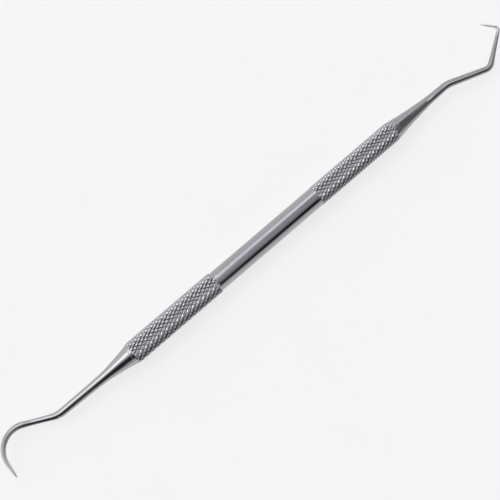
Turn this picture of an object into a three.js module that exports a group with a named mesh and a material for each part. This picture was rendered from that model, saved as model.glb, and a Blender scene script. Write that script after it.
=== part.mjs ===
// Double-ended dental explorer, in millimetres, +Z up. A stainless handle with two knurled grips holds a steel
// working end in a drilled socket at each end: a shepherd's hook at -X and a right-angle tip at +X.
// The tool lies flat: the handle runs along X, and every bend lies in the level plane through its axis.
import * as THREE from 'three';
import { mergeVertices } from 'three/addons/utils/BufferGeometryUtils.js';

// Handle. The grips' diameters are measured over the crests of the knurl.
const HANDLE_LENGTH = 90.6;
const PLAIN_DIAMETER = 5.45;
const GRIP_LENGTH = 28.4;
const HOOK_GRIP_DIAMETER = 6.05;
const ANGLED_GRIP_DIAMETER = 5.7;
const INNER_CHAMFER = 0.5;
const HOOK_CHAMFER = 1.2;
const HOOK_SHOULDER_DIAMETER = 5.45;
const ANGLED_CHAMFER = 2.4;
const ANGLED_SHOULDER_DIAMETER = 5;

// Blind sockets in the handle's ends, and the tangs that are soldered into them.
const SOCKET_DIAMETER = 3;
const SOCKET_DEPTH = 12;
const DRILL_POINT_DEPTH = 0.9;
const SOLDER_GAP = 0.05;
const TANG_LENGTH = 11.5;
const TANG_CHAMFER = 0.3;

// Tapers of the two working ends: [distance from the shoulder along the centreline, diameter].
const HOOK_TAPER = [
  [0, HOOK_SHOULDER_DIAMETER], [2.7, 4.36], [5, 3.61], [7.7, 2.89], [9.7, 2.64], [12.3, 2.46], [22, 2.11],
  [25, 1.74], [29.5, 1.57], [32.8, 1.74], [35.6, 1.56], [38.5, 1.46], [42.5, 1.24], [45.5, 0.96], [47.2, 0.62],
  [48, 0.3],
];
const ANGLED_TAPER = [
  [0, ANGLED_SHOULDER_DIAMETER], [2.7, 4.15], [5.7, 3.44], [8.7, 2.84], [10.7, 2.47], [12.5, 2.3], [16.2, 2.14],
  [18.5, 2.03], [24.4, 1.86], [28.2, 1.74], [31, 1.62], [33.2, 1.36], [37.5, 1.07], [41, 0.93], [44.3, 0.76],
  [45.6, 0.5], [46.2, 0.28],
];

// Bends along the centreline, from the shoulder outwards. A positive turn is to the left, seen from above.
// The hook end's first turn is slight: its shank runs a little off the handle's axis.
const HOOK_BENDS = [
  { run: 0.4 },
  { turn: -0.7, radius: 60 },
  { run: 20.37 },
  { turn: -25.7, radius: 7 },
  { run: 7.27 },
  { turn: 111.2, radius: 6.2 },
  { run: 4.01 },
];
const ANGLED_BENDS = [
  { run: 16.45 },
  { turn: -19, radius: 8 },
  { run: 9.8 },
  { turn: 55, radius: 2.7 },
  { run: 8.75 },
  { turn: 97, radius: 1.1 },
  { run: 4.03 },
];

// Facets round each turned surface. Every count is a multiple of four, so flats face down and to both sides.
const HANDLE_SIDES = 32;
const SHANK_SIDES = 20;
const DEGREES_PER_RING = 8;

const HANDLE_STEEL = new THREE.MeshStandardMaterial({ color: 0xb9b8be, roughness: 0.3, metalness: 1 });
const TIP_STEEL = new THREE.MeshStandardMaterial({ color: 0xc6c5cb, roughness: 0.18, metalness: 1 });

// Turns an outline of [distance along the axis, diameter] points into a faceted solid along +X.
// The facets' flats, not their edges, lie at the stated diameter.
function turned(outline, sides) {
  const flatsToEdges = 1 / Math.cos(Math.PI / sides);
  const points = outline.map(([along, diameter]) => new THREE.Vector2((diameter / 2) * flatsToEdges, along));
  const lathe = new THREE.LatheGeometry(points, sides, Math.PI / sides);
  lathe.deleteAttribute('normal');
  lathe.deleteAttribute('uv');
  lathe.rotateZ(-Math.PI / 2);
  return mergeVertices(lathe, 1e-5);
}

// A bend list as pieces of constant curvature: { length, curvature } in mm and 1/mm.
function curvedPieces(bends) {
  return bends.map(({ run, turn, radius }) => {
    if (run !== undefined) return { length: run, curvature: 0 };
    return { length: THREE.MathUtils.degToRad(Math.abs(turn)) * radius, curvature: Math.sign(turn) / radius };
  });
}

// The point and heading at a distance along the pieces. Short of the start, the line runs straight back.
function centreline(pieces, distance) {
  let x = 0;
  let y = 0;
  let heading = 0;
  let left = distance;
  for (const { length, curvature } of pieces) {
    const travel = Math.min(left, length);
    const after = heading + travel * curvature;
    if (curvature === 0) {
      x += travel * Math.cos(heading);
      y += travel * Math.sin(heading);
    } else {
      x += (Math.sin(after) - Math.sin(heading)) / curvature;
      y += (Math.cos(heading) - Math.cos(after)) / curvature;
    }
    heading = after;
    left -= travel;
    if (left <= 0) break;
  }
  return { x, y, heading };
}

// Bends a straight solid along X in the level plane, as the real shank is bent after turning.
function bend(geometry, pieces) {
  const position = geometry.getAttribute('position');
  for (let i = 0; i < position.count; i += 1) {
    const { x, y, heading } = centreline(pieces, position.getX(i));
    const sideways = position.getY(i);
    position.setXY(i, x - Math.sin(heading) * sideways, y + Math.cos(heading) * sideways);
  }
  return geometry;
}

function diameterAt(taper, distance) {
  const next = taper.findIndex(([along]) => along >= distance);
  if (next <= 0) return taper[0][1];
  const [fromAlong, fromDiameter] = taper[next - 1];
  const [toAlong, toDiameter] = taper[next];
  return THREE.MathUtils.mapLinear(distance, fromAlong, toAlong, fromDiameter, toDiameter);
}

// Distances where a working end needs a ring: the taper's own points, and steps through each bend.
function ringPlaces(taper, pieces) {
  const end = taper[taper.length - 1][0];
  const places = taper.map(([along]) => along);
  let along = 0;
  for (const { length, curvature } of pieces) {
    const steps = Math.ceil(THREE.MathUtils.radToDeg(length * Math.abs(curvature)) / DEGREES_PER_RING);
    for (let i = 0; i <= steps; i += 1) places.push(along + (steps ? (length * i) / steps : 0));
    along += length;
  }
  const inOrder = places.filter((place) => place <= end).sort((a, b) => a - b);
  return inOrder.filter((place, i) => i === 0 || place - inOrder[i - 1] > 0.05);
}

// A working end: tang, shoulder, cone, shank and point, turned straight and then bent.
function workingEnd(taper, bends) {
  const pieces = curvedPieces(bends);
  const tangDiameter = SOCKET_DIAMETER - 2 * SOLDER_GAP;
  const outline = [
    [-TANG_LENGTH, 0],
    [-TANG_LENGTH, tangDiameter - 2 * TANG_CHAMFER],
    [-TANG_LENGTH + TANG_CHAMFER, tangDiameter],
    [SOLDER_GAP, tangDiameter],
    [SOLDER_GAP, taper[0][1]],
  ];
  for (const place of ringPlaces(taper, pieces)) {
    if (place > SOLDER_GAP) outline.push([place, diameterAt(taper, place)]);
  }
  outline.push([taper[taper.length - 1][0], 0]);
  return bend(turned(outline, SHANK_SIDES), pieces);
}

// The handle: both sockets' walls and the outside are one closed outline that starts and ends on the axis.
function handle() {
  const end = HANDLE_LENGTH / 2;
  const gripEnd = end - GRIP_LENGTH;
  const floor = end - SOCKET_DEPTH;
  return turned([
    [-floor + DRILL_POINT_DEPTH, 0],
    [-floor, SOCKET_DIAMETER],
    [-end, SOCKET_DIAMETER],
    [-end, HOOK_SHOULDER_DIAMETER],
    [-end + HOOK_CHAMFER, HOOK_GRIP_DIAMETER],
    [-gripEnd - INNER_CHAMFER, HOOK_GRIP_DIAMETER],
    [-gripEnd, PLAIN_DIAMETER],
    [gripEnd, PLAIN_DIAMETER],
    [gripEnd + INNER_CHAMFER, ANGLED_GRIP_DIAMETER],
    [end - ANGLED_CHAMFER, ANGLED_GRIP_DIAMETER],
    [end, ANGLED_SHOULDER_DIAMETER],
    [end, SOCKET_DIAMETER],
    [floor, SOCKET_DIAMETER],
    [floor - DRILL_POINT_DEPTH, 0],
  ], HANDLE_SIDES);
}

function piece(name, geometry, material) {
  geometry.computeVertexNormals();
  const mesh = new THREE.Mesh(geometry, material);
  mesh.name = name;
  return mesh;
}

function explorer() {
  const hookEnd = piece('hook_end', workingEnd(HOOK_TAPER, HOOK_BENDS), TIP_STEEL);
  hookEnd.position.x = -HANDLE_LENGTH / 2;
  hookEnd.rotation.z = Math.PI;
  const angledEnd = piece('angled_end', workingEnd(ANGLED_TAPER, ANGLED_BENDS), TIP_STEEL);
  angledEnd.position.x = HANDLE_LENGTH / 2;
  const group = new THREE.Group();
  group.add(piece('handle', handle(), HANDLE_STEEL), hookEnd, angledEnd);
  return group;
}

// The origin is under the middle of the whole tool, on the surface that it lies on.
const part = explorer();
const extent = new THREE.Box3().setFromObject(part);
const middle = extent.getCenter(new THREE.Vector3());
part.position.set(-middle.x, -middle.y, -extent.min.z);

export default part;
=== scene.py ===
"""Double-ended dental explorer: fine meshes, steel materials, a soft studio and a camera round the CAD frame.

Lengths in the constants below are millimetres, which MM turns into metres, and angles are degrees. Each CAD
node is one real piece, and one fine mesh stands for it: the handle with its rolled diamond knurl, and two
working ends.
"""
import math

import bpy
import numpy as np
from mathutils import Matrix, Vector


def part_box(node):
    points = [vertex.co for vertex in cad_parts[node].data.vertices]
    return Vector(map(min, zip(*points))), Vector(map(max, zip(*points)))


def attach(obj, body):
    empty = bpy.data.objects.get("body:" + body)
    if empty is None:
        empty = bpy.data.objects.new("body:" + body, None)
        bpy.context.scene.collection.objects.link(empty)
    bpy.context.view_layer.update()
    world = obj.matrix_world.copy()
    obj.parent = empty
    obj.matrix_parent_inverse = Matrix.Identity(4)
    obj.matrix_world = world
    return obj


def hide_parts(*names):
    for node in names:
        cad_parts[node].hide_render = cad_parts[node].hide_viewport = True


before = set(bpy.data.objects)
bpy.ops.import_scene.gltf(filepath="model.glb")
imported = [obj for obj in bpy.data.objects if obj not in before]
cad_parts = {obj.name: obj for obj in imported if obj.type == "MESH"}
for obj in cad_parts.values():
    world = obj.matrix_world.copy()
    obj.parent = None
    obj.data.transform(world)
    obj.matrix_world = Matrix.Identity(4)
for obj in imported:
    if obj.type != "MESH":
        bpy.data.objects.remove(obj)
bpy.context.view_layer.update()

MM = 0.001

# ---- Handle. Grip diameters are over the crests of the knurl. CENTRE_STEPS is along the plain centre. ----
HANDLE_LENGTH = 90.6
PLAIN_DIAMETER = 5.45
GRIP_LENGTH = 28.4
HOOK_GRIP_DIAMETER = 6.05
ANGLED_GRIP_DIAMETER = 5.7
INNER_CHAMFER = 0.5
HOOK_CHAMFER = 1.2
ANGLED_CHAMFER = 2.4
HOOK_SHOULDER_DIAMETER = 5.45
ANGLED_SHOULDER_DIAMETER = 5.0
EDGE_BREAK = 0.06
CENTRE_STEPS = 34
HANDLE_SHARP_DEGREES = 24

# ---- Sockets and tangs ----
SOCKET_DIAMETER = 3.0
SOCKET_DEPTH = 12.0
DRILL_POINT_DEPTH = 0.9
SOLDER_GAP = 0.05
TANG_LENGTH = 11.5
TANG_CHAMFER = 0.3

# ---- Diamond knurl: two families of helical grooves, one left-hand and one right-hand ----
# Each family has KNURL_STARTS grooves round the grip, and the second is SECOND_GROOVE as deep as the first.
# FLANK_SHARE of a pitch slopes, and the rest is a flat crest. The inner ends fade out over GROOVE_RUNOUT.
KNURL_STARTS = 18
KNURL_PITCHES = 16.7
KNURL_DEPTH = 0.22
SECOND_GROOVE = 0.72
FLANK_SHARE = 2 / 3
STEPS_PER_PITCH = 6
GROOVE_RUNOUT = 0.4

# ---- Working ends: [distance along the centreline, diameter], then the bends from the shoulder outwards ----
HOOK_TAPER = [
    (0, 5.45), (2.7, 4.36), (5, 3.61), (7.7, 2.89), (9.7, 2.64), (12.3, 2.46), (22, 2.11), (25, 1.74),
    (29.5, 1.57), (32.8, 1.74), (35.6, 1.56), (38.5, 1.46), (42.5, 1.24), (45.5, 0.96), (47.2, 0.62),
    (48, 0.3),
]
ANGLED_TAPER = [
    (0, 5.0), (2.7, 4.15), (5.7, 3.44), (8.7, 2.84), (10.7, 2.47), (12.5, 2.3), (16.2, 2.14), (18.5, 2.03),
    (24.4, 1.86), (28.2, 1.74), (31, 1.62), (33.2, 1.36), (37.5, 1.07), (41, 0.93), (44.3, 0.76),
    (45.6, 0.5), (46.2, 0.28),
]
HOOK_BENDS = [
    ("run", 0.4), ("turn", -0.7, 60.0), ("run", 20.37), ("turn", -25.7, 7.0),
    ("run", 7.27), ("turn", 111.2, 6.2), ("run", 4.01),
]
ANGLED_BENDS = [
    ("run", 16.45), ("turn", -19.0, 8.0), ("run", 9.8), ("turn", 55.0, 2.7),
    ("run", 8.75), ("turn", 97.0, 1.1), ("run", 4.03),
]
SHANK_SIDES = 64
SHANK_SHARP_DEGREES = 40
FIRST_RING = 0.3
RING_SPACING = 0.3
DEGREES_PER_RING = 4.0
POINT_RING_DEGREES = (0, 30, 60, 80)
POLISH_ALLOWANCE = 0.012

# ---- Finishes, with painted shade in the knurl's grooves and painted light and shade on the working ends. A pair of greys or of roughnesses is a range that patches or grain vary over. ----
TURNED_GREYS = ((0.38, 0.38, 0.395), (0.42, 0.42, 0.435))
TURNED_ROUGHNESS = (0.1, 0.17)
KNURL_GREYS = ((0.45, 0.447, 0.472), (0.51, 0.507, 0.535))
KNURL_ROUGHNESS = (0.12, 0.24)
# Painted shade: the colour that the knurl darkens towards down in its grooves, from this share of a groove's
# depth.
GROOVE_SHADE_COLOUR = (0.12, 0.12, 0.125)
GROOVE_SHADE_FROM = 0.5
POLISHED_ROUGHNESS = (0.08, 0.15)
SATIN_ROUGHNESS = 0.58
FLOOR_GREYS = ((0.24, 0.24, 0.24), (0.26, 0.26, 0.26))
FLOOR_GLOW = 0.74
# Each working end turns satin, and then takes its tip's paler colour, between two places along its
# centreline. The paler tip is painted sheen. Both ends are one steel, and their greys differ as painted light
# and shade, the angled end's darker.
HOOK_FINISH_AND_SHEEN = {
    "greys": ((0.39, 0.39, 0.4), (0.43, 0.43, 0.44)),
    "tip_sheen_colour": (0.76, 0.76, 0.77),
    "satin_places": (30.5, 36.0),
    "tip_sheen_places": (38.0, 45.0),
}
ANGLED_FINISH_AND_SHEEN = {
    "greys": ((0.35, 0.35, 0.36), (0.39, 0.39, 0.4)),
    "tip_sheen_colour": (0.92, 0.92, 0.93),
    "satin_places": (27.5, 32.0),
    "tip_sheen_places": (38.5, 42.5),
}

# ---- Floor ----
FLOOR_HALF_SIZE = 3000.0
FLOOR_DROP = 0.02

# ---- Camera: mild perspective from above, leaning towards the hook end ----
CAMERA_DISTANCE = 300.0
CAMERA_LEAN = 7.5
HANDLE_SLOPE = 40.517
AIM_ALONG = -5.047
AIM_ACROSS = 0.585
LENS = 84.743
SENSOR_WIDTH = 36.0
CLIP_START = 10.0


# ---------------------------------------------------------------- meshes

def make_object(name, vertices, faces):
    """A mesh object, in metres, from vertices in millimetres."""
    mesh = bpy.data.meshes.new(name)
    mesh.from_pydata((np.asarray(vertices) * MM).tolist(), [], faces)
    mesh.validate()
    mesh.update()
    piece = bpy.data.objects.new(name, mesh)
    bpy.context.scene.collection.objects.link(piece)
    return piece


def ring_faces(first, second, sides, diagonal=None):
    """Faces between two rings: quads, or triangles where diagonal(j) says which way cell j splits."""
    faces = []
    for j in range(sides):
        k = (j + 1) % sides
        a, b, c, d = first + j, first + k, second + k, second + j
        if diagonal is None:
            faces.append((a, b, c, d))
        elif diagonal(j):
            faces += [(a, b, c), (a, c, d)]
        else:
            faces += [(a, b, d), (b, c, d)]
    return faces


def skin(rings, start, end, diagonals=None):
    """Vertices and faces of a closed surface: a pole, then rings of equal size, then a pole."""
    sides = len(rings[0])
    vertices = [np.asarray([start])] + [np.asarray(ring) for ring in rings] + [np.asarray([end])]
    faces = [(0, 1 + (j + 1) % sides, 1 + j) for j in range(sides)]
    for i in range(len(rings) - 1):
        first = 1 + i * sides
        faces += ring_faces(first, first + sides, sides, diagonals[i] if diagonals else None)
    last = 1 + (len(rings) - 1) * sides
    tip = last + sides
    faces += [(tip, last + j, last + (j + 1) % sides) for j in range(sides)]
    return np.vstack(vertices), faces


def add_attribute(piece, name, kind, values):
    """A per-vertex attribute that a material reads: kind is FLOAT or FLOAT_VECTOR."""
    attribute = piece.data.attributes.new(name, kind, "POINT")
    field = "value" if kind == "FLOAT" else "vector"
    attribute.data.foreach_set(field, np.asarray(values, np.float32).ravel())


def shade(piece, sharp_degrees):
    """Smooth shading that stays crisp where two faces meet at more than the given angle."""
    piece.data.polygons.foreach_set("use_smooth", [True] * len(piece.data.polygons))
    piece.data.set_sharp_from_angle(angle=math.radians(sharp_degrees))
    piece.data.update()


def smooth_step(low, high, value):
    """0 at low, 1 at high, and level at both."""
    share = np.clip((value - low) / (high - low), 0.0, 1.0)
    return share * share * (3 - 2 * share)


# ---------------------------------------------------------------- handle

def groove_profile(turns, depth):
    """Height across one family of grooves, by pitches: 1 on the crests and 1 - depth at the bottoms."""
    away = 2 * np.abs(turns - np.round(turns))
    return 1 - depth * (1 - np.clip(away / FLANK_SHARE, 0.0, 1.0))


def knurl_heights(row, column):
    """Heights of the right-hand and the left-hand family of grooves at a place on the knurl's grid."""
    along = row / STEPS_PER_PITCH
    around = column / STEPS_PER_PITCH
    return groove_profile(along + around, 1.0), groove_profile(along - around, SECOND_GROOVE)


def knurl_diagonal(row, following):
    """Which way each cell between two rows splits: along the groove that it lies in. None off the knurl."""
    if row is None or following != row + 1:
        return None

    def diagonal(j):
        first, second = knurl_heights(row + 0.5, j + 0.5)
        return second < first
    return diagonal


def plain_row(x, radius, columns):
    """A round row off the knurl, in the same form as grip_rows()."""
    return x, np.full(len(columns), radius), np.ones(len(columns)), None


def centre_rows(columns):
    """The plain centre's rows, without the grips' own rows at its two ends."""
    half = HANDLE_LENGTH / 2 - GRIP_LENGTH
    places = [-half + 2 * half * (i / CENTRE_STEPS) for i in range(1, CENTRE_STEPS)]
    return [plain_row(x, PLAIN_DIAMETER / 2, columns) for x in places]


def grip_rows(side, crest, shoulder, outer_chamfer, columns):
    """(x, radii, land, row) for the rows of one knurled grip, by rising x. Row 0 is its inner end."""
    count = int(round(KNURL_PITCHES * STEPS_PER_PITCH))
    inner = HANDLE_LENGTH / 2 - GRIP_LENGTH
    rows = []
    for row in range(min(0, side * count), max(0, side * count) + 1):
        depth_in = GRIP_LENGTH * abs(row) / count
        depth_out = GRIP_LENGTH - depth_in
        inner_slope = PLAIN_DIAMETER / 2 + (crest - PLAIN_DIAMETER / 2) * depth_in / INNER_CHAMFER
        outer_slope = shoulder + (crest - shoulder) * depth_out / outer_chamfer
        envelope = min(crest, inner_slope, outer_slope)
        land = np.minimum(*knurl_heights(row, columns))
        sunk = KNURL_DEPTH * smooth_step(0.0, GROOVE_RUNOUT, depth_in)
        radii = np.minimum(crest - sunk * (1 - land), envelope)
        rows.append((side * (inner + depth_in), radii, land, row))
    return rows


def handle_rows(columns):
    """Every row of the handle, from the floor of the hook side's socket to the floor of the angled side's."""
    end = HANDLE_LENGTH / 2
    floor = end - SOCKET_DEPTH
    bore = SOCKET_DIAMETER / 2
    hook_shoulder = HOOK_SHOULDER_DIAMETER / 2
    angled_shoulder = ANGLED_SHOULDER_DIAMETER / 2
    hook_socket = [
        (-floor, bore), (-end + EDGE_BREAK, bore),
        (-end, bore + EDGE_BREAK), (-end, hook_shoulder - EDGE_BREAK),
    ]
    angled_socket = [
        (end, angled_shoulder - EDGE_BREAK), (end, bore + EDGE_BREAK),
        (end - EDGE_BREAK, bore), (floor, bore),
    ]
    rows = [plain_row(x, radius, columns) for x, radius in hook_socket]
    rows += grip_rows(-1, HOOK_GRIP_DIAMETER / 2, hook_shoulder, HOOK_CHAMFER, columns)
    rows += centre_rows(columns)
    rows += grip_rows(1, ANGLED_GRIP_DIAMETER / 2, angled_shoulder, ANGLED_CHAMFER, columns)
    rows += [plain_row(x, radius, columns) for x, radius in angled_socket]
    return rows


def build_handle(middle_x, axis_y, axis_z):
    """The bar with both sockets, its plain centre and its two knurled grips, as one closed mesh."""
    sides = KNURL_STARTS * STEPS_PER_PITCH
    columns = np.arange(sides)
    angles = 2 * math.pi * columns / sides
    rows = handle_rows(columns)
    rings = []
    for x, radii, _, _ in rows:
        y = axis_y + radii * np.cos(angles)
        z = axis_z + radii * np.sin(angles)
        rings.append(np.stack([np.full(sides, middle_x + x), y, z], axis=1))
    diagonals = [knurl_diagonal(row[3], following[3]) for row, following in zip(rows, rows[1:])]
    drilled = HANDLE_LENGTH / 2 - SOCKET_DEPTH - DRILL_POINT_DEPTH
    start = (middle_x - drilled, axis_y, axis_z)
    finish = (middle_x + drilled, axis_y, axis_z)
    vertices, faces = skin(rings, start, finish, diagonals)
    piece = make_object("handle_fine", vertices, faces)
    lands = np.concatenate([land for _, _, land, _ in rows])
    add_attribute(piece, "groove", "FLOAT", np.concatenate([[0.0], 1 - lands, [0.0]]))
    shade(piece, HANDLE_SHARP_DEGREES)
    return piece


# ---------------------------------------------------------------- working ends

def curved_pieces(bends):
    """A bend list as (length, curvature) in mm and 1/mm."""
    pieces = []
    for bend in bends:
        if bend[0] == "run":
            pieces.append((bend[1], 0.0))
        else:
            _, turn, radius = bend
            pieces.append((math.radians(abs(turn)) * radius, math.copysign(1 / radius, turn)))
    return pieces


def centreline(pieces, distance):
    """x, y and heading at a distance along the pieces. Short of the start, the line runs straight back."""
    x = y = heading = 0.0
    left = distance
    for length, curvature in pieces:
        travel = min(left, length)
        after = heading + travel * curvature
        if curvature == 0:
            x += travel * math.cos(heading)
            y += travel * math.sin(heading)
        else:
            x += (math.sin(after) - math.sin(heading)) / curvature
            y += (math.cos(heading) - math.cos(after)) / curvature
        heading = after
        left -= travel
        if left <= 0:
            break
    return x, y, heading


def smooth_taper(taper):
    """A monotone cubic through the taper's points, as a function of distance that gives a diameter."""
    along = np.array([p[0] for p in taper], float)
    across = np.array([p[1] for p in taper], float)
    slopes = np.diff(across) / np.diff(along)
    tangents = np.zeros(len(along))
    tangents[0], tangents[-1] = slopes[0], slopes[-1]
    for i in range(1, len(along) - 1):
        before, after = slopes[i - 1], slopes[i]
        if before * after > 0:
            tangents[i] = 2 * before * after / (before + after)

    def diameter(distance):
        i = int(np.clip(np.searchsorted(along, distance) - 1, 0, len(along) - 2))
        width = along[i + 1] - along[i]
        t = (distance - along[i]) / width
        rise = across[i] * (2 * t**3 - 3 * t**2 + 1) + across[i + 1] * (3 * t**2 - 2 * t**3)
        return rise + width * (tangents[i] * (t**3 - 2 * t**2 + t) + tangents[i + 1] * (t**3 - t**2))

    return diameter


def ring_places(pieces, end):
    """Distances of the rings along a working end, closer together where it bends."""
    places, along = [], 0.0
    for length, curvature in pieces:
        degrees = math.degrees(length * abs(curvature))
        count = max(math.ceil(length / RING_SPACING), math.ceil(degrees / DEGREES_PER_RING), 1)
        places += [along + length * i / count for i in range(count)]
        along += length
    return [place for place in places if FIRST_RING < place < end]


def blank_profile(pieces, taper, end):
    """(distance, radius) of the straight blank's rings: tang, shoulder, cone, shank and rounded point."""
    diameter = smooth_taper(taper)
    tang = SOCKET_DIAMETER / 2 - SOLDER_GAP
    shoulder = taper[0][1] / 2
    cone_start = SOLDER_GAP + EDGE_BREAK
    point = taper[-1][1] / 2
    profile = [
        (-TANG_LENGTH, tang - TANG_CHAMFER), (-TANG_LENGTH + TANG_CHAMFER, tang), (SOLDER_GAP, tang),
        (SOLDER_GAP, shoulder - EDGE_BREAK), (cone_start, diameter(cone_start) / 2),
    ]
    for place in ring_places(pieces, end - point):
        profile.append((place, diameter(place) / 2 - POLISH_ALLOWANCE))
    for degrees in POINT_RING_DEGREES:
        lean = math.radians(degrees)
        profile.append((end - point + point * math.sin(lean), point * math.cos(lean)))
    return profile


def build_working_end(name, taper, bends, origin, facing):
    """One closed mesh, turned straight and then bent. Its blank attribute keeps the unbent places."""
    pieces = curved_pieces(bends)
    end = min(taper[-1][0], sum(length for length, _ in pieces))
    angles = 2 * math.pi * np.arange(SHANK_SIDES) / SHANK_SIDES
    rings, blank = [], [(-TANG_LENGTH, 0.0, 0.0)]
    for along, radius in blank_profile(pieces, taper, end):
        x, y, heading = centreline(pieces, along)
        sideways, up = radius * np.cos(angles), radius * np.sin(angles)
        ring = np.stack([x - math.sin(heading) * sideways, y + math.cos(heading) * sideways, up], axis=1)
        rings.append(ring)
        blank += [(along, s, u) for s, u in zip(sideways, up)]
    blank.append((end, 0.0, 0.0))
    tip_x, tip_y, _ = centreline(pieces, end)
    vertices, faces = skin(rings, (-TANG_LENGTH, 0, 0), (tip_x, tip_y, 0))
    turn = np.array([[math.cos(facing), -math.sin(facing)], [math.sin(facing), math.cos(facing)]])
    vertices[:, :2] = vertices[:, :2] @ turn.T
    piece = make_object(name, vertices + np.array(origin), faces)
    add_attribute(piece, "blank", "FLOAT_VECTOR", blank)
    shade(piece, SHANK_SHARP_DEGREES)
    return piece


# ---------------------------------------------------------------- shader nodes

def node(tree, kind, **settings):
    """A new node with its settings."""
    made = tree.nodes.new(kind)
    for key, value in settings.items():
        setattr(made, key, value)
    return made


def link(tree, source, target):
    """Joins an output to an input."""
    tree.links.new(source, target)


def plug(tree, value, socket):
    """Gives an input either a link from an output or a fixed value."""
    if hasattr(value, "is_output"):
        link(tree, value, socket)
    else:
        socket.default_value = value


def math_node(tree, operation, first, second=None):
    """The result of a Math node on one value or two."""
    made = node(tree, "ShaderNodeMath", operation=operation)
    plug(tree, first, made.inputs[0])
    if second is not None:
        plug(tree, second, made.inputs[1])
    return made.outputs["Value"]


def noise(tree, vector, scale, detail, stretch=(1, 1, 1)):
    """Noise on coordinates that are first stretched; scale is in features per unit of those coordinates."""
    mapping = node(tree, "ShaderNodeMapping")
    mapping.inputs["Scale"].default_value = stretch
    link(tree, vector, mapping.inputs["Vector"])
    texture = node(tree, "ShaderNodeTexNoise")
    texture.inputs["Scale"].default_value = scale
    texture.inputs["Detail"].default_value = detail
    link(tree, mapping.outputs["Vector"], texture.inputs["Vector"])
    return texture.outputs["Fac"]


def to_range(tree, value, low, high, from_low=0.0, from_high=1.0):
    """Maps a value from one range to another, and clamps it there."""
    ranged = node(tree, "ShaderNodeMapRange")
    ranged.inputs["From Min"].default_value = from_low
    ranged.inputs["From Max"].default_value = from_high
    ranged.inputs["To Min"].default_value = low
    ranged.inputs["To Max"].default_value = high
    link(tree, value, ranged.inputs["Value"])
    return ranged.outputs["Result"]


def mix_colour(tree, share, first, second):
    """Two colours mixed by a share. Each colour is an output or an RGB triple."""
    mixed = node(tree, "ShaderNodeMix", data_type="RGBA")
    link(tree, share, mixed.inputs["Factor"])
    for socket, colour in ((mixed.inputs[6], first), (mixed.inputs[7], second)):
        plug(tree, colour if hasattr(colour, "is_output") else (*colour, 1), socket)
    return mixed.outputs[2]


def bump(tree, height, distance, strength, after=None):
    """A bumped normal, on top of another one if that is given. The distance is in metres."""
    bumped = node(tree, "ShaderNodeBump")
    bumped.inputs["Distance"].default_value = distance
    bumped.inputs["Strength"].default_value = strength
    link(tree, height, bumped.inputs["Height"])
    if after is not None:
        link(tree, after, bumped.inputs["Normal"])
    return bumped.outputs["Normal"]


# ---------------------------------------------------------------- materials

def new_steel(name):
    """An empty metal material: its tree and its shader."""
    material = bpy.data.materials.new(name)
    material.use_nodes = True
    shader = material.node_tree.nodes["Principled BSDF"]
    shader.inputs["Metallic"].default_value = 1.0
    return material, material.node_tree, shader


def turned_steel():
    """The plain centre: polished on the lathe, with faint rings, small scratches along it and soft smears."""
    material, tree, shader = new_steel("turned_steel")
    place = node(tree, "ShaderNodeTexCoord").outputs["Object"]
    rings = noise(tree, place, 1.0, 2.0, (9000, 220, 220))
    scratches = noise(tree, place, 1.0, 3.0, (160, 7000, 7000))
    smears = noise(tree, place, 180.0, 2.0)
    link(tree, mix_colour(tree, smears, *TURNED_GREYS), shader.inputs["Base Color"])
    link(tree, to_range(tree, smears, *TURNED_ROUGHNESS), shader.inputs["Roughness"])
    first = bump(tree, rings, 0.000004, 0.5)
    link(tree, bump(tree, scratches, 0.000003, 0.4, first), shader.inputs["Normal"])
    return material


def knurled_steel():
    """The grips: grainy worn steel, darkened down in the grooves as painted shade."""
    material, tree, shader = new_steel("knurled_steel")
    place = node(tree, "ShaderNodeTexCoord").outputs["Object"]
    groove = node(tree, "ShaderNodeAttribute", attribute_name="groove").outputs["Fac"]
    grain = noise(tree, place, 2600.0, 3.0)
    patches = noise(tree, place, 260.0, 2.0)
    clean = mix_colour(tree, patches, *KNURL_GREYS)
    # Painted shade: the colour darkens deeper down each groove.
    groove_shade = to_range(tree, groove, 0.0, 1.0, GROOVE_SHADE_FROM, 1.0)
    link(tree, mix_colour(tree, groove_shade, clean, GROOVE_SHADE_COLOUR), shader.inputs["Base Color"])
    link(tree, to_range(tree, grain, *KNURL_ROUGHNESS), shader.inputs["Roughness"])
    link(tree, bump(tree, grain, 0.000008, 0.5), shader.inputs["Normal"])
    return material


def ground_steel(name, greys, tip_sheen_colour, satin_places, tip_sheen_places):
    """A working end: ground and polished along its length, satin towards its point, and paler there as
    painted sheen.
    """
    material, tree, shader = new_steel(name)
    blank = node(tree, "ShaderNodeAttribute", attribute_name="blank").outputs["Vector"]
    lines = noise(tree, blank, 1.0, 3.0, (0.25, 9.0, 9.0))
    patches = noise(tree, blank, 0.35, 2.0)
    axes = node(tree, "ShaderNodeSeparateXYZ")
    link(tree, blank, axes.inputs["Vector"])
    tip_sheen = to_range(tree, axes.outputs["X"], 0.0, 1.0, *tip_sheen_places)
    # Patches vary the grey at random; each end's level of grey is painted light and shade.
    polished = mix_colour(tree, patches, *greys)
    # Painted sheen: the colour turns paler towards the point.
    link(tree, mix_colour(tree, tip_sheen, polished, tip_sheen_colour), shader.inputs["Base Color"])
    shine = to_range(tree, patches, *POLISHED_ROUGHNESS)
    satin = to_range(tree, axes.outputs["X"], 0.0, SATIN_ROUGHNESS, *satin_places)
    link(tree, math_node(tree, "MAXIMUM", shine, satin), shader.inputs["Roughness"])
    link(tree, bump(tree, lines, 0.000004, 0.5), shader.inputs["Normal"])
    return material


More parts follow.
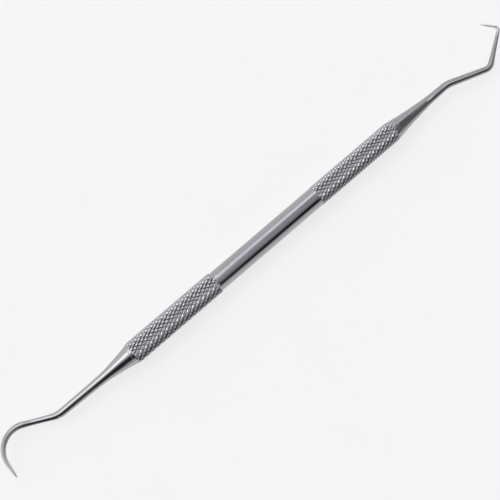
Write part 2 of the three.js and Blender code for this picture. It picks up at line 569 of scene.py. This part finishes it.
def pale_table():
    """A matt table top with a faint mottle, and a glow of its own that keeps it pale."""
    material = bpy.data.materials.new("pale_table")
    material.use_nodes = True
    tree = material.node_tree
    shader = tree.nodes["Principled BSDF"]
    mottle = noise(tree, node(tree, "ShaderNodeTexCoord").outputs["Object"], 40.0, 2.0)
    link(tree, mix_colour(tree, mottle, *FLOOR_GREYS), shader.inputs["Base Color"])
    shader.inputs["Roughness"].default_value = 0.8
    shader.inputs["Specular IOR Level"].default_value = 0.1
    shader.inputs["Emission Color"].default_value = (1, 1, 1, 1)
    shader.inputs["Emission Strength"].default_value = FLOOR_GLOW
    return material


def paint_handle(piece, middle_x, axis_y, axis_z):
    """Turned steel on the plain centre and in the sockets, knurled steel on the grips."""
    piece.data.materials.append(turned_steel())
    piece.data.materials.append(knurled_steel())
    grip_start = (HANDLE_LENGTH / 2 - GRIP_LENGTH) * MM
    bore_edge = (SOCKET_DIAMETER / 2 + EDGE_BREAK) * MM
    for face in piece.data.polygons:
        past_centre = abs(face.center.x - middle_x * MM) > grip_start
        outside = math.hypot(face.center.y - axis_y * MM, face.center.z - axis_z * MM) > bore_edge
        face.material_index = 1 if past_centre and outside else 0


# ---------------------------------------------------------------- studio

def window(tree, degrees, edges):
    """0 outside four angles (start, full, full, end), 1 between the middle two, and smooth in between."""
    start, full, fading, end = edges
    rise = node(tree, "ShaderNodeMapRange", interpolation_type="SMOOTHSTEP")
    rise.inputs["From Min"].default_value = start
    rise.inputs["From Max"].default_value = full
    fall = node(tree, "ShaderNodeMapRange", interpolation_type="SMOOTHSTEP")
    fall.inputs["From Min"].default_value = fading
    fall.inputs["From Max"].default_value = end
    fall.inputs["To Min"].default_value = 1.0
    fall.inputs["To Max"].default_value = 0.0
    for edge in (rise, fall):
        link(tree, degrees, edge.inputs["Value"])
    return math_node(tree, "MULTIPLY", rise.outputs["Result"], fall.outputs["Result"])


# Studio cards round the tool, placed by direction. "Along" is the angle towards the right-angle tip, and
# "across" is the angle from overhead towards the tool's -Y side. Both are window() edges, in degrees. Seen
# from the camera, the handle mirrors what lies 0 to 17 degrees along, and the working ends what lies beyond.
TENT = (0.88, 0.88, 0.9)
ALL_ALONG = (-92, -91, 91, 92)
HOOK_SIDE = (-92, -91, -7, 5)
HOOK_SIDE_LIT = (-62, -52, -7, 5)
HOOK_BEND = (-92, -91, -31, -25)
HOOK_STRAIGHT = (-45, -38, -26, -23)
HOOK_CONE = (-33, -27, -20, -16)
HOOK_SHANK = (-23, -18, -6, 5)
HOOK_GRIP = (-4, -1, 2.5, 5)
CENTRE_LIT = (-8, 4, 14, 26)
CENTRE_DARK = (-3, 5, 16, 28)
ANGLED_GRIP = (12, 14, 16, 18)
CENTRE_TO_ANGLED_SIDE = (-6, 4, 32, 39)
ANGLED_SIDE = (11, 18, 33, 39)
ANGLED_CONE = (20, 24, 34, 38)
ANGLED_SHANK = (20.5, 23, 26, 28.5)
ANGLED_STRAIGHT = (27, 30, 56, 66)

# (along, across, tone). Each card covers the ones above it, so the lights and the black flags come last.
CARDS = [
    (ALL_ALONG, (60, 82, 184, 185), (0.68, 0.68, 0.68)),
    (HOOK_SIDE, (-110, -75, -44, -26), (1.1, 1.09, 1.12)),
    (CENTRE_TO_ANGLED_SIDE, (-36, -22, 22, 50), (0.5, 0.5, 0.54)),
    (ANGLED_SIDE, (-42, -16, 60, 88), (0.33, 0.33, 0.35)),
    (ANGLED_SIDE, (12, 32, 60, 86), (0.2, 0.2, 0.21)),
    (ANGLED_STRAIGHT, (-36, -14, 38, 56), (0.2, 0.2, 0.21)),
    (ANGLED_CONE, (-64, -52, -44, -32), (1.05, 1.05, 1.08)),
    (ANGLED_SHANK, (-27, -18, -7, 6), (2.2, 2.2, 2.25)),
    (HOOK_BEND, (-100, -85, -14, 6), (0.7, 0.7, 0.71)),
    (HOOK_BEND, (6, 22, 46, 62), (0.3, 0.3, 0.31)),
    (HOOK_CONE, (-18, 14, 46, 66), (0.03, 0.03, 0.032)),
    (HOOK_SHANK, (-24, 16, 52, 88), (0.03, 0.03, 0.032)),
    (HOOK_STRAIGHT, (0, 20, 72, 104), (0.03, 0.03, 0.032)),
    (CENTRE_DARK, (12, 47, 58, 81), (0.0, 0.0, 0.0)),
    (CENTRE_LIT, (-62, -43, -39, -24), (1.45, 1.42, 1.6)),
    (HOOK_SIDE_LIT, (-62, -46, -36, -15), (2.5, 2.47, 2.5)),
    (HOOK_GRIP, (-44, -30, -20, -6), (2.8, 2.77, 2.8)),
    (ANGLED_GRIP, (-66, -54, -42, -34), (2.8, 2.77, 2.8)),
]


def build_studio():
    """A world that is a white tent with the soft-edged cards in it."""
    world = bpy.data.worlds.new("studio")
    bpy.context.scene.world = world
    world.use_nodes = True
    tree = world.node_tree
    tree.nodes.clear()
    way = node(tree, "ShaderNodeSeparateXYZ")
    link(tree, node(tree, "ShaderNodeTexCoord").outputs["Generated"], way.inputs["Vector"])
    x, y, z = (way.outputs[axis] for axis in "XYZ")
    along = math_node(tree, "DEGREES", math_node(tree, "ARCSINE", x))
    towards_minus_y = math_node(tree, "MULTIPLY", y, -1.0)
    across = math_node(tree, "DEGREES", math_node(tree, "ARCTAN2", towards_minus_y, z))
    colour = TENT
    for along_edges, across_edges, tone in CARDS:
        in_along = window(tree, along, along_edges)
        in_across = window(tree, across, across_edges)
        colour = mix_colour(tree, math_node(tree, "MULTIPLY", in_along, in_across), colour, tone)
    background = node(tree, "ShaderNodeBackground")
    link(tree, colour, background.inputs["Color"])
    output = node(tree, "ShaderNodeOutputWorld")
    link(tree, background.outputs["Background"], output.inputs["Surface"])


def build_floor():
    """A pale table, with its top just under the lowest crest of the knurl."""
    half, top = FLOOR_HALF_SIZE, -FLOOR_DROP
    corners = [(-half, -half, top), (half, -half, top), (half, half, top), (-half, half, top)]
    floor = make_object("floor", corners, [(0, 1, 2, 3)])
    floor.data.materials.append(pale_table())


def build_camera(middle_x, axis_y, axis_z):
    """Looks down at the tool, leaning towards the hook end, with the handle rising to the right."""
    lean, slope = math.radians(CAMERA_LEAN), math.radians(HANDLE_SLOPE)
    back = Vector((-math.sin(lean), 0, math.cos(lean)))
    along = Vector((math.cos(lean), 0, math.sin(lean)))
    across = Vector((0, 1, 0))
    right = along * math.cos(slope) - across * math.sin(slope)
    up = along * math.sin(slope) + across * math.cos(slope)
    aim = Vector((middle_x + AIM_ALONG, axis_y + AIM_ACROSS, axis_z)) * MM
    data = bpy.data.cameras.new("camera")
    data.lens = LENS
    data.sensor_width = SENSOR_WIDTH
    data.clip_start = CLIP_START * MM
    camera = bpy.data.objects.new("camera", data)
    rotation = Matrix((right, up, back)).transposed()
    camera.matrix_world = Matrix.Translation(aim + back * CAMERA_DISTANCE * MM) @ rotation.to_4x4()
    bpy.context.scene.collection.objects.link(camera)
    bpy.context.scene.camera = camera


# ---------------------------------------------------------------- scene

def build():
    """The whole scene, placed by the CAD handle's box."""
    low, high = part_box("handle")
    middle_x = (low.x + high.x) / 2 / MM
    axis_y = (low.y + high.y) / 2 / MM
    axis_z = (low.z + high.z) / 2 / MM
    build_camera(middle_x, axis_y, axis_z)
    build_studio()
    build_floor()

    handle = build_handle(middle_x, axis_y, axis_z)
    paint_handle(handle, middle_x, axis_y, axis_z)
    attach(handle, "root")
    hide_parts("handle")

    half = HANDLE_LENGTH / 2
    ends = [
        ("hook_end", HOOK_TAPER, HOOK_BENDS, -half, math.pi, HOOK_FINISH_AND_SHEEN),
        ("angled_end", ANGLED_TAPER, ANGLED_BENDS, half, 0.0, ANGLED_FINISH_AND_SHEEN),
    ]
    for name, taper, bends, place, facing, finish in ends:
        origin = (middle_x + place, axis_y, axis_z)
        piece = build_working_end(name + "_fine", taper, bends, origin, facing)
        piece.data.materials.append(ground_steel(name + "_steel", **finish))
        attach(piece, "root")
        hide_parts(name)

    view = bpy.context.scene.view_settings
    view.view_transform = "Standard"
    view.look = "None"


build()
